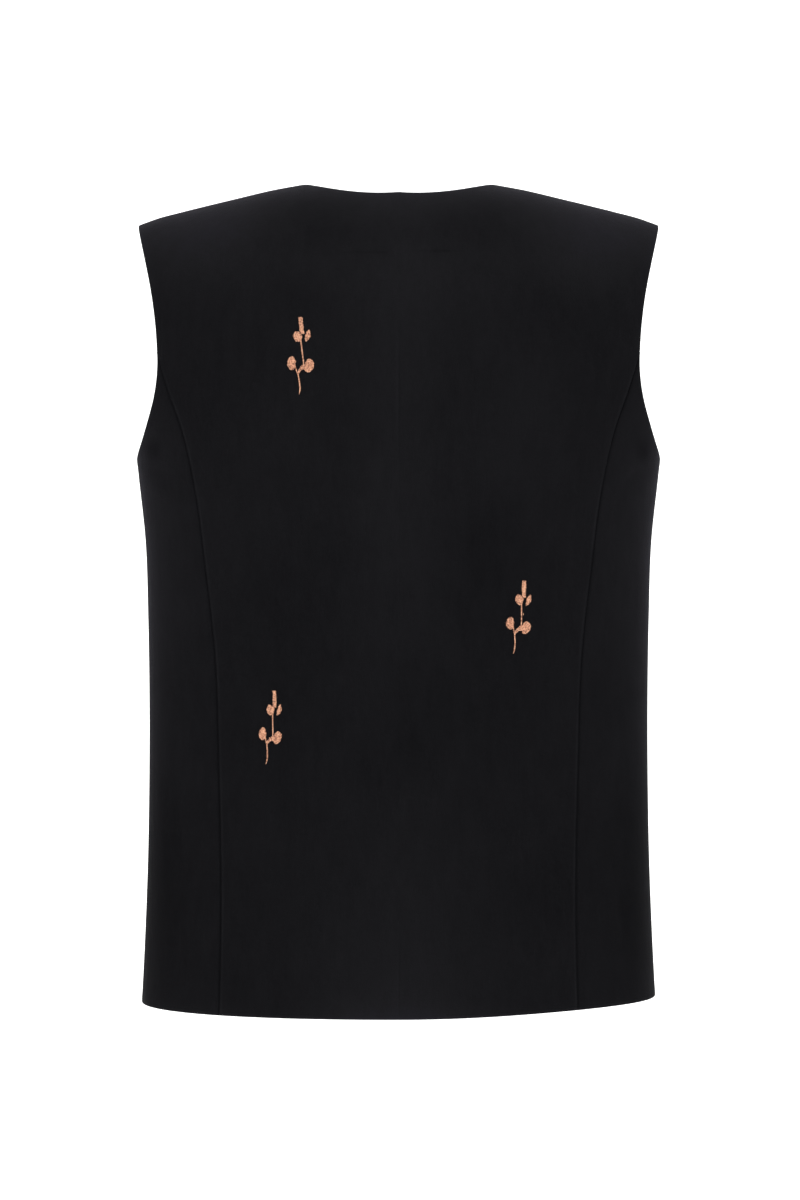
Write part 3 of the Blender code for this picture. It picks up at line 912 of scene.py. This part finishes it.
@dataclass(frozen=True)
class BackPanel(Panel):
    """Half of the back, from the middle seam to the curved seam and the armhole."""

    seam_roll_mm: float = 0.22
    middle_roll_mm: float = 0.04
    seam_ends_mm: float = 8.0
    beyond_mm: float = 60.0
    seam_waver: float = 0.25
    waver_rate: float = 71.0

    def grid(self) -> Array:
        """The grid of points, hem to neck and shoulder, middle to outer edge."""
        form = self.form
        neck_share = form.neck_half_width / form.tip_x
        bend = self.shares(form.neck_half_width + form.neck_back_y) * math.pi / 2
        neck = neck_share * np.sin(bend) ** (2 / form.neck_power)
        shoulder = mix(neck_share, 1.0, self.shares(form.tip_x - form.neck_half_width))
        columns = np.concatenate([neck, shoulder[1:]])
        climbed = self.climb(form.hem_z, form.tip_z)[:, None]
        edge_z = mix(form.hem_z, form.tip_z, climbed)
        seam, armhole = form.back_seam(edge_z), form.back_armhole(edge_z)
        edge_x = np.where(edge_z <= form.seam_top_z, seam, armhole)
        top_z = form.neck_height(columns * form.tip_x)
        x = self.side.value * columns * edge_x
        points = self.spaced(form.on_face(Face.BACK, x, mix(form.hem_height(x), top_z, climbed)))
        corner = len(neck)
        yoke = self.spaced_across(points[:, :corner], high=False)
        arm = self.spaced_across(points[:, corner - 1:], low=False)
        return np.concatenate([yoke, arm[:, 1:]], axis=1)

    def beside_seam(self, edges: Edges) -> Array:
        """1 where the outer edge is the curved seam, 0 beside the armhole above it."""
        seam = (self.form.seam_top_z - self.form.hem_z) / MM
        return np.clip((seam - edges.foot) / self.seam_ends_mm, 0.0, 1.0)

    def from_free(self, points: Array, edges: Edges) -> Array:
        """Millimetres to the nearest edge that no seam joins, without a break at the corners."""
        arm = edges.outer + self.beyond_mm * self.beside_seam(edges)
        neck = self.form.from_neck(points) / MM
        shoulder = self.form.from_shoulder(points) / MM
        return np.minimum.reduce([edges.foot, arm, neck, shoulder])

    def lift(self, points: Array, edges: Edges) -> Array:
        """The turnings' lift along the free edges, and along the curved seam towards the middle."""
        pressed = PRESSED_SEAM(edges.outer) * self.beside_seam(edges)
        return TURNING(self.from_free(points, edges)) + pressed

    def roll(self, edges: Edges) -> Array:
        """The rolled edges, which both seams draw flatter."""
        free = np.minimum(edges.foot, edges.top)
        outer = mix(self.roll_mm, self.seam_roll_mm, self.beside_seam(edges))
        return np.maximum.reduce([
            rolled(free, self.roll_mm, self.roll_mm),
            rolled(edges.outer, self.roll_mm, outer),
            rolled(edges.inner, self.roll_mm, self.middle_roll_mm),
        ])

    def nap(self, points: Array, edges: Edges) -> Array:
        """The worn edges with painted light where they roll over, a painted lit line and painted
        shade along the curved seam, and painted light and painted shade beside the middle seam.
        """
        z = points[..., 2]
        wave = np.sin(z * self.waver_rate + self.side.value)
        uneven = 1 - self.seam_waver + self.seam_waver * wave
        seam = SEAM_PAINTED_LIGHT(edges.outer) * uneven - SEAM_PAINTED_SHADE(edges.outer)
        middle = MIDDLE_SEAM_LIGHT_AND_SHADE[self.side](edges.inner) * sum(band(z) for band in MIDDLE_SEEN)
        brushed_and_lit = self.worn_and_lit_edge(self.from_free(points, edges))
        return brushed_and_lit + seam * self.beside_seam(edges) + middle


@dataclass(frozen=True)
class SidePanel(Panel):
    """The side of the back, from the curved seam to the side seam, and the armhole's foot."""

    seam_roll_mm: float = 0.18
    search_steps: int = 40

    def strand_tops(self, shares: Array) -> Array:
        """The heights where the panel's strands, at shares of its width, meet the armhole."""
        form = self.form
        low = np.full_like(shares, form.underarm_z)
        high = np.full_like(shares, form.seam_top_z)
        for _ in range(self.search_steps):
            z = (low + high) / 2
            edge = form.ring_angle(form.back_armhole(z), z)
            strand = mix(form.ring_angle(form.back_seam(z), z), form.side_seam_angle, shares)
            low, high = np.where(edge < strand, low, z), np.where(edge < strand, z, high)
        tops = (low + high) / 2
        tops[0], tops[-1] = form.seam_top_z, form.underarm_z
        return tops

    def grid(self) -> Array:
        """The grid of points, hem to armhole, curved seam to side seam."""
        form = self.form
        width = float(form.side_seam_angle * form.half_width(form.underarm_z) / 2)
        shares = self.shares(width)
        tops = self.strand_tops(shares)
        climbed = self.shares(form.seam_top_z - form.hem_z)[:, None]
        z = mix(form.hem_z, tops, climbed)
        angle = mix(form.ring_angle(form.back_seam(z), z), form.side_seam_angle, shares)
        points = form.on_ring(self.side, angle, z)
        points[..., 2] = mix(form.hem_height(points[..., 0]), tops, climbed)
        return self.spaced_across(self.spaced(points))

    def roll(self, edges: Edges) -> Array:
        """The rolled edges, which both seams draw flatter."""
        free = np.minimum(edges.foot, edges.top)
        sewn = rolled(np.minimum(edges.inner, edges.outer), self.roll_mm, self.seam_roll_mm)
        return np.maximum(rolled(free, self.roll_mm, self.roll_mm), sewn)

    def nap(self, points: Array, edges: Edges) -> Array:
        """The worn edges with painted light where they roll over, and painted shade along the
        curved seam.
        """
        free = np.minimum(edges.foot, edges.top)
        return self.worn_and_lit_edge(free) - SIDE_PAINTED_SHADE(edges.inner)


@dataclass(frozen=True)
class FrontPanel(Panel):
    """One front, from the side seam and the armhole to the open middle edge and the neck."""

    gap_mm: float = 0.3

    def grid(self) -> Array:
        """The grid of points, hem to shoulder, side seam to middle edge."""
        form = self.form
        girth = float(form.half_width(form.underarm_z) + form.front_depth(form.underarm_z) / 2)
        angles = mix(form.side_seam_angle, math.pi, self.shares(girth))
        climbed = self.shares(form.underarm_z - form.hem_z)[:, None]
        lower = form.on_ring(self.side, angles, mix(form.hem_z, form.underarm_z, climbed))
        lower[..., 2] = mix(form.hem_height(lower[..., 0]), form.underarm_z, climbed)
        seam_share = math.sin(form.side_seam_angle) ** (2 / form.power)
        shares = np.abs(np.sin(angles)) ** (2 / form.power) / seam_share
        climbed = self.climb(form.underarm_z, form.tip_z)[:, None]
        neck_z = float(form.ridge(form.neck_half_width))
        outer_x = form.front_armhole(mix(form.underarm_z, form.tip_z, climbed))
        inner_x = form.front_neck(mix(form.underarm_z, neck_z, climbed))
        top_z = form.ridge(mix(form.neck_half_width, form.tip_x, shares))
        x = self.side.value * mix(inner_x, outer_x, shares)
        upper = form.on_face(Face.FRONT, x, mix(form.underarm_z, top_z, climbed))
        points = np.concatenate([self.spaced(lower, high=False), self.spaced(upper, low=False)[1:]])
        points = self.spaced_across(points)
        parted = PARTING(Edges.of(points).outer)
        points[..., 0] += self.side.value * self.gap_mm / 2 * MM * parted
        return points


class Ply(Enum):
    """Which thread a stitch is sewn with, by its material's place on the piece; the stem's is the
    same copper painted paler as sheen.
    """

    LEAF = 0
    STEM = 1


@dataclass(frozen=True)
class Stem:
    """A ribbon along points, in millimetres from the fork, with its widths at foot and tip."""

    foot_width: float
    tip_width: float
    points: tuple[tuple[float, float], ...]

    @property
    def length(self) -> float:
        """The ribbon's length."""
        return sum((Vector(b) - Vector(a)).length for a, b in zip(self.points, self.points[1:]))

    def at(self, distance: float) -> tuple[Vector, Vector, float]:
        """The ribbon's middle, direction and width that far along it, or past either end."""
        share = min(max(distance / self.length, 0.0), 1.0)
        width = self.foot_width + (self.tip_width - self.foot_width) * share
        for a, b in zip(self.points, self.points[1:]):
            run = Vector(b) - Vector(a)
            if distance <= run.length or b == self.points[-1]:
                break
            distance -= run.length
        return Vector(a) + run.normalized() * distance, run.normalized(), width

    def outline(self, fullness: float) -> list[Vector]:
        """The corners of the ribbon, round its right edge and back along its left."""
        right, left = [], []
        for distance in np.linspace(0.0, self.length, 13):
            middle, run, width = self.at(distance)
            half = Vector((run.y, -run.x)) * width / 2 * fullness
            right.append(middle + half)
            left.append(middle - half)
        return right + left[::-1]


@dataclass(frozen=True)
class Leaf:
    """One leaf of a sprig, flat in millimetres from the fork. Lean is in degrees clockwise.

    A foot or tip over 1 is more pointed than an oval's, and bow bulges the leaf to the right.
    """

    across: float
    up: float
    length: float
    width: float
    lean: float
    foot: float
    tip: float
    bow: float

    def place(self, across: float, along: float) -> Vector:
        """A point of the leaf in the sprig's chart."""
        lean = math.radians(self.lean)
        turned = Vector((
            across * math.cos(lean) + along * math.sin(lean),
            along * math.cos(lean) - across * math.sin(lean),
        ))
        return Vector((self.across, self.up)) + turned

    def spine(self, fullness: float) -> Stem:
        """The ribbon along its middle."""
        half = self.length / 2 * fullness
        ends = tuple(self.place(0.0, -half)), tuple(self.place(0.0, half))
        return Stem(self.width, self.width, ends)

    def outline(self, fullness: float) -> list[Vector]:
        """The leaf's edge, up its right side and down its left."""
        right, left = [], []
        for angle in np.linspace(-math.pi / 2, math.pi / 2, 25):
            y = math.sin(angle)
            taper = self.foot + (self.tip - self.foot) * (1 + y) / 2
            half = self.width / 2 * max(1 - y * y, 0.0) ** (taper / 2)
            bulge = self.bow * (1 - y * y)
            along = y * self.length / 2 * fullness
            right.append(self.place((bulge + half) * fullness, along))
            left.append(self.place((bulge - half) * fullness, along))
        return right + left[::-1]


def chord(outline: list[Vector], through: Vector, run: Vector) -> tuple[Vector, Vector] | None:
    """The two ends of a line across an outline.

    Args:
        outline: the corners round it.
        through: a point of the line.
        run: the line's direction, one millimetre long.

    Returns:
        The first and the last place where the line crosses the outline, or nothing.
    """
    square = Vector((-run.y, run.x))
    crossings = []
    for a, b in zip(outline, outline[1:] + outline[:1]):
        before, after = (a - through).dot(square), (b - through).dot(square)
        if (before < 0) != (after < 0):
            crossings.append((a.lerp(b, before / (before - after)) - through).dot(run))
    if len(crossings) < 2:
        return None
    return through + run * min(crossings), through + run * max(crossings)


STEM_WIDTH = 1.4
NECK_WIDTH = 4.6
BUD_WIDTH = 3.4
ROOT = -15.6
STALK_FOOT = 8.0
STALK_TOP = 22.0
LEAVES = (
    Leaf(-5.2, 6.9, 10.0, 6.5, -2.0, 0.95, 1.20, -0.4),
    Leaf(6.9, 5.1, 9.9, 7.1, 12.0, 1.05, 1.00, 0.3),
    Leaf(-1.2, 26.0, 8.2, 6.8, -20.0, 1.10, 1.50, 0.2),
    Leaf(5.9, 26.8, 9.3, 3.9, 13.0, 1.40, 1.70, 0.3),
)
CORDS = (
    ((0.3, ROOT), (0.6, -10.5), (0.1, -6.0), (-0.7, -2.0), (-1.0, 0.6)),
    ((-0.8, -1.0), (-1.7, 1.0), (-2.5, 3.0), (-3.4, 5.4)),
    ((3.3, 4.6), (3.0, 8.0), (2.4, 13.0), (1.7, 18.5), (1.0, 23.6)),
)
NECK = Stem(STEM_WIDTH, NECK_WIDTH, ((-1.0, -0.4), (0.5, 2.4), (2.4, 3.9), (4.8, 4.4)))
BUD = Stem(BUD_WIDTH, BUD_WIDTH, ((2.0, 27.9), (1.8, 30.6), (1.2, 35.0), (0.6, 40.2)))


@dataclass
class Sprig:
    """One embroidered sprig, in satin stitches over its leaves and bud and along its stems."""

    name: str
    x: float
    z: float
    lean: float
    stretch: float
    spread: float
    fullness: float
    form: WornForm
    seed: int
    loose: tuple[tuple[float, float], ...] = ()
    thread_mm: float = 0.40
    pitch_mm: float = 0.34
    low_mm: float = 0.20
    crown_mm: float = 0.60
    dip_mm: float = 0.26
    split_mm: float = 2.1
    ragged_mm: float = 0.30
    slant: float = math.radians(20.0)
    cord_stitch_mm: float = 3.0
    cord_step_mm: float = 0.55
    path_step_mm: float = 0.42
    wander_kept: float = 0.6
    inset: float = 0.75
    crown_power: float = 0.6
    crown_uneven_mm: float = 0.09
    cord_lead: float = 0.3
    cord_uneven_mm: float = 0.12
    cord_crown: float = 0.55
    loose_run: tuple[float, float] = (-0.2, 1.3)
    loose_crown_mm: float = 0.25
    stitches: list[tuple[Ply, Array]] = field(default_factory=list)

    def run_stitch(self, ply: Ply, start: Vector, end: Vector, crown: float, phase: float) -> None:
        """Lays one thread from edge to edge, dipping where the needle goes through.

        Args:
            ply: which thread it is sewn with.
            start: its first end, in the sprig's chart.
            end: its other end.
            crown: how high its middle stands over its ends, in millimetres.
            phase: how far the needle's holes are shifted along it, as a share of their spacing.
        """
        length = (end - start).length
        count = max(4, math.ceil(length / self.path_step_mm))
        path = []
        for k in range(count + 1):
            t = k / count
            place = start.lerp(end, t)
            arch = crown * math.sqrt(max(1 - (2 * t - 1) ** 2, 0.0))
            hole = math.cos(2 * math.pi * (t * length / self.split_mm + phase))
            dip = self.dip_mm * max(hole, 0.0) ** 3 if length > self.split_mm else 0.0
            path.append((place.x, place.y, self.low_mm + max(arch - dip, 0.0)))
        self.stitches.append((ply, np.array(path)))

    def wandered(self, before: float, draw: random.Random) -> float:
        """How far the next stitch's end strays, which follows the one before it in part."""
        return self.wander_kept * before + draw.uniform(-1.0, 1.0) * self.ragged_mm

    def satin(self, outline: list[Vector], spine: Stem, draw: random.Random) -> None:
        """Fills an outline with slanting stitches from edge to edge, ragged at both ends.

        Args:
            outline: the corners round it.
            spine: the ribbon along its middle, which the stitches cross.
            draw: where the unevenness comes from.
        """
        widest = max(spine.foot_width, spine.tip_width)
        start_wander = end_wander = 0.0
        for distance in np.arange(-widest, spine.length + widest, self.pitch_mm):
            middle, run, _ = spine.at(distance)
            across = Vector((run.y, -run.x)) * math.cos(self.slant) + run * math.sin(self.slant)
            ends = chord(outline, middle, across)
            start_wander = self.wandered(start_wander, draw)
            end_wander = self.wandered(end_wander, draw)
            if ends is None or (ends[1] - ends[0]).length < 2 * self.thread_mm:
                continue
            full = min((ends[1] - ends[0]).length / widest, 1.0) ** self.crown_power
            inset = self.thread_mm * self.inset
            start = ends[0] + across * (inset + start_wander)
            end = ends[1] - across * (inset + end_wander)
            uneven = draw.uniform(-self.crown_uneven_mm, self.crown_uneven_mm)
            crown = self.crown_mm * full + uneven
            self.run_stitch(Ply.LEAF, start, end, crown, draw.random())

    def stitch_cord(self, stem: Stem, draw: random.Random) -> None:
        """Runs overlapping stem stitches along a stem, each slanting across it."""
        step = self.cord_step_mm
        reach = self.cord_stitch_mm
        uneven = self.cord_uneven_mm
        for k in range(math.ceil((stem.length - reach * self.cord_lead) / step)):
            foot = max(k * step - reach * self.cord_lead, 0.0)
            head = min(foot + reach, stem.length)
            start, run, width = stem.at(foot)
            end, end_run, _ = stem.at(head)
            side = width / 2 - self.thread_mm
            start = start - Vector((run.y, -run.x)) * (side + draw.uniform(-uneven, uneven))
            end = end + Vector((end_run.y, -end_run.x)) * (side + draw.uniform(-uneven, uneven))
            self.run_stitch(Ply.STEM, start, end, self.crown_mm * self.cord_crown, draw.random())

    def laid(self, chart: Array) -> Array:
        """Fits the chart's points to the sprig and lays them on the creased back.

        Args:
            chart: points across, up and off the cloth, in millimetres.

        Returns:
            The points in metres.
        """
        lean = math.radians(self.lean)
        stalk = np.clip((chart[:, 1] - STALK_FOOT) / (STALK_TOP - STALK_FOOT), 0.0, 1.0)
        foot = np.clip(chart[:, 1] / ROOT, 0.0, 1.0)
        high = chart[:, 1] + (stalk - foot / 2) * self.stretch
        wide = chart[:, 0] * self.spread
        x = self.x - (wide * math.cos(lean) + high * math.sin(lean)) * MM
        z = self.z + (high * math.cos(lean) - wide * math.sin(lean)) * MM
        reach = 0.5 * MM
        here = self.form.on_face(Face.BACK, x, z)
        along_x = self.form.on_face(Face.BACK, x + reach, z) - here
        along_z = self.form.on_face(Face.BACK, x, z + reach) - here
        normals = np.cross(along_z, along_x)
        normals /= np.linalg.norm(normals, axis=1, keepdims=True)
        lift = sum(crease.height(self.form, here) for crease in CREASES)
        return here + normals * (lift + chart[:, 2] * MM)[:, None]

    def threads(self) -> bmesh.types.BMesh:
        """The stitches as closed tubes in one bmesh, which keeps each one's place of material."""
        curve = bpy.data.curves.new(f"{self.name}_threads", "CURVE")
        curve.dimensions = "3D"
        curve.bevel_depth = self.thread_mm / 2 * MM
        curve.bevel_resolution = 1
        curve.use_fill_caps = True
        for ply, stitch in self.stitches:
            spline = curve.splines.new("POLY")
            spline.points.add(len(stitch) - 1)
            spline.material_index = ply.value
            for point, place in zip(spline.points, self.laid(stitch)):
                point.co = (*place, 1.0)
        helper = bpy.data.objects.new(f"{self.name}_threads", curve)
        bpy.context.scene.collection.objects.link(helper)
        graph = bpy.context.evaluated_depsgraph_get()
        mesh = bpy.data.meshes.new_from_object(helper.evaluated_get(graph))
        bpy.data.objects.remove(helper)
        bm = bmesh.new()
        bm.from_mesh(mesh)
        bmesh.ops.remove_doubles(bm, verts=bm.verts, dist=1e-6)
        bmesh.ops.recalc_face_normals(bm, faces=bm.faces)
        return bm

    def build(self, *finishes: bpy.types.Material) -> bpy.types.Object:
        """Args:
            finishes: the materials of its threads, in the plies' order.

        Returns:
            The finished piece.
        """
        draw = random.Random(self.seed)
        for points in CORDS:
            self.stitch_cord(Stem(STEM_WIDTH, STEM_WIDTH, points), draw)
        for ribbon in (NECK, BUD):
            self.satin(ribbon.outline(1.0), ribbon, draw)
        for leaf in LEAVES:
            self.satin(leaf.outline(self.fullness), leaf.spine(self.fullness), draw)
        for foot in self.loose:
            end = Vector(np.add(foot, self.loose_run))
            self.run_stitch(Ply.LEAF, Vector(foot), end, self.loose_crown_mm, 0.0)
        piece = new_piece(f"{self.name}_stitches", self.threads(), *finishes)
        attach(piece, BODY)
        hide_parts(self.name, f"{self.name}_leaf")
        faces = len(piece.data.polygons)
        LOG.info("%s: %d stitches, %d faces", piece.name, len(self.stitches), faces)
        return piece


def new_piece(
    name: str, bm: bmesh.types.BMesh, *finishes: bpy.types.Material
) -> bpy.types.Object:
    """Turns a bmesh into a smooth object of the scene.

    Args:
        name: the piece's name.
        bm: its shape, which is freed.
        finishes: its materials, in the order of its faces' material places.

    Returns:
        The object, at the origin.
    """
    mesh = bpy.data.meshes.new(name)
    bm.to_mesh(mesh)
    bm.free()
    for finish in finishes:
        mesh.materials.append(finish)
    mesh.shade_smooth()
    piece = bpy.data.objects.new(name, mesh)
    bpy.context.scene.collection.objects.link(piece)
    return piece


@dataclass
class Vest:
    """The whole garment: its six panels and three sprigs."""

    form: WornForm = field(default_factory=WornForm)
    cloth: NappedCloth = field(default_factory=NappedCloth)
    threads: tuple[SatinThread, SatinThread] = (LEAF_THREAD, STEM_THREAD_PAINTED_SHEEN)

    def sprigs(self) -> dict[Side, list[Sprig]]:
        """The sprigs, by the half of the back that they are stitched on."""
        loose = ((3.6, 14.6),)
        return {
            Side.LEFT: [
                Sprig("sprig_upper", 0.0713, -0.1323, 0.0, 0.0, 1.00, 1.00, self.form, 11),
                Sprig("sprig_lower", 0.0942, -0.3996, 6.0, -1.6, 0.88, 0.96, self.form, 12),
            ],
            Side.RIGHT: [
                Sprig("sprig_right", -0.0849, -0.3197, 8.0, -1.7, 0.95, 0.97, self.form, 13, loose),
            ],
        }

    def build(self) -> None:
        """Builds every piece of the garment."""
        cloth = self.cloth.material()
        threads = [thread.material() for thread in self.threads]
        for side in Side:
            sewn = [sprig.build(*threads) for sprig in self.sprigs()[side]]
            BackPanel(f"back_{side.label}", side, self.form).build(cloth, sewn)
            SidePanel(f"side_{side.label}", side, self.form).build(cloth, [])
            FrontPanel(f"front_{side.label}", side, self.form).build(cloth, [])


@dataclass(frozen=True)
class Studio:
    """A plain white sweep, soft lights and the camera behind the vest."""

    distance: float = 2.6
    metres_per_pixel: float = 0.00075
    frame_height_px: int = 1200
    camera_x: float = -0.0011
    camera_z: float = -0.2957
    sensor_mm: float = 36.0
    floor_z: float = -0.95
    wall_y: float = -2.2
    sweep_radius: float = 1.0
    half_width: float = 4.0
    floor_front_y: float = 4.0
    wall_height: float = 4.0
    white: tuple[float, float, float, float] = (1.0, 1.0, 1.0, 1.0)
    sweep_white: tuple[float, float, float, float] = (0.93, 0.93, 0.93, 1.0)
    sweep_roughness: float = 0.9
    sweep_glow: float = 0.55
    light_size: float = 1.6
    side_power: float = 34.0
    top_power: float = 26.0
    surround: float = 0.50

    def build_camera(self) -> None:
        """A level camera that looks along -Y and frames the vest as the photograph does."""
        data = bpy.data.cameras.new("camera")
        data.sensor_fit = "VERTICAL"
        data.sensor_height = self.sensor_mm
        seen = self.metres_per_pixel * self.frame_height_px
        data.lens = self.sensor_mm * self.distance / seen
        camera = bpy.data.objects.new("camera", data)
        camera.location = (self.camera_x, self.distance, self.camera_z)
        camera.rotation_euler = (math.radians(90), 0.0, math.radians(180))
        bpy.context.scene.collection.objects.link(camera)
        bpy.context.scene.camera = camera

    def sweep_material(self) -> bpy.types.Material:
        """White with a faint glow towards the vest, clear from behind for views of the fronts."""
        net = Net("white_sweep")
        net.feed(net.shader, {
            "Base Color": self.sweep_white,
            "Roughness": self.sweep_roughness,
            "Emission Color": self.white,
            "Emission Strength": self.sweep_glow,
        })
        faced = net.add("MixShader", {
            0: net.add("NewGeometry", {}).outputs["Backfacing"],
            1: net.shader.outputs["BSDF"],
            2: net.add("BsdfTransparent", {}).outputs["BSDF"],
        })
        output = net.material.node_tree.nodes["Material Output"]
        net.feed(output, {"Surface": faced.outputs["Shader"]})
        return net.material

    def build_sweep(self) -> None:
        """The pale floor, which curves up into a wall."""
        bm = bmesh.new()
        front = bm.verts.new((-self.half_width, self.floor_front_y, self.floor_z))
        foot = bm.verts.new((-self.half_width, self.wall_y + self.sweep_radius, self.floor_z))
        edge = bm.edges.new((front, foot))
        centre = Vector((0.0, self.wall_y + self.sweep_radius, self.floor_z + self.sweep_radius))
        bmesh.ops.spin(
            bm, geom=[foot], cent=centre, axis=(1, 0, 0), angle=math.radians(-90), steps=24,
            use_duplicate=False,
        )
        top = min(bm.verts, key=lambda vert: (round(vert.co.y, 5), -vert.co.z))
        rise = bmesh.ops.extrude_vert_indiv(bm, verts=[top])["verts"]
        bmesh.ops.translate(bm, verts=rise, vec=(0.0, 0.0, self.wall_height))
        side = bmesh.ops.extrude_edge_only(bm, edges=bm.edges[:])["geom"]
        moved = [item for item in side if isinstance(item, bmesh.types.BMVert)]
        bmesh.ops.translate(bm, verts=moved, vec=(2 * self.half_width, 0.0, 0.0))
        bmesh.ops.recalc_face_normals(bm, faces=bm.faces)
        floor = min(bm.faces, key=lambda face: face.calc_center_median().z)
        if floor.normal.z < 0:
            bmesh.ops.reverse_faces(bm, faces=bm.faces)
        new_piece("sweep", bm, self.sweep_material())

    def add_light(self, name: str, place: tuple, aim_z: float, power: float) -> None:
        """A soft square light that points at the vest's middle.

        Args:
            name: what it is called.
            place: where it stands.
            aim_z: the height that it points at.
            power: its power in watts.
        """
        data = bpy.data.lights.new(name, "AREA")
        data.shape = "SQUARE"
        data.size = self.light_size
        data.energy = power
        light = bpy.data.objects.new(name, data)
        light.location = place
        aim = Vector((0.0, 0.0, aim_z)) - Vector(place)
        light.rotation_euler = aim.to_track_quat("-Z", "Y").to_euler()
        bpy.context.scene.collection.objects.link(light)

    def build_lights(self) -> None:
        """Two large side lights, a top light and an even pale surround."""
        self.add_light("key", (2.2, 2.0, 0.9), -0.25, self.side_power)
        self.add_light("fill", (-2.2, 2.0, 0.9), -0.25, self.side_power)
        self.add_light("top", (0.0, 0.2, 2.0), -0.1, self.top_power)
        world = bpy.data.worlds.new("pale_surround")
        world.use_nodes = True
        background = world.node_tree.nodes["Background"]
        background.inputs["Color"].default_value = self.white
        background.inputs["Strength"].default_value = self.surround
        bpy.context.scene.world = world

    def build(self) -> None:
        """Builds everything around the vest."""
        self.build_camera()
        self.build_sweep()
        self.build_lights()
        bpy.context.scene.view_settings.view_transform = "Standard"


def main() -> None:
    """Builds the vest and the studio round it."""
    logging.basicConfig(level=logging.INFO, format="%(name)s: %(message)s")
    Vest().build()
    Studio().build()


if __name__ == "__main__":
    main()
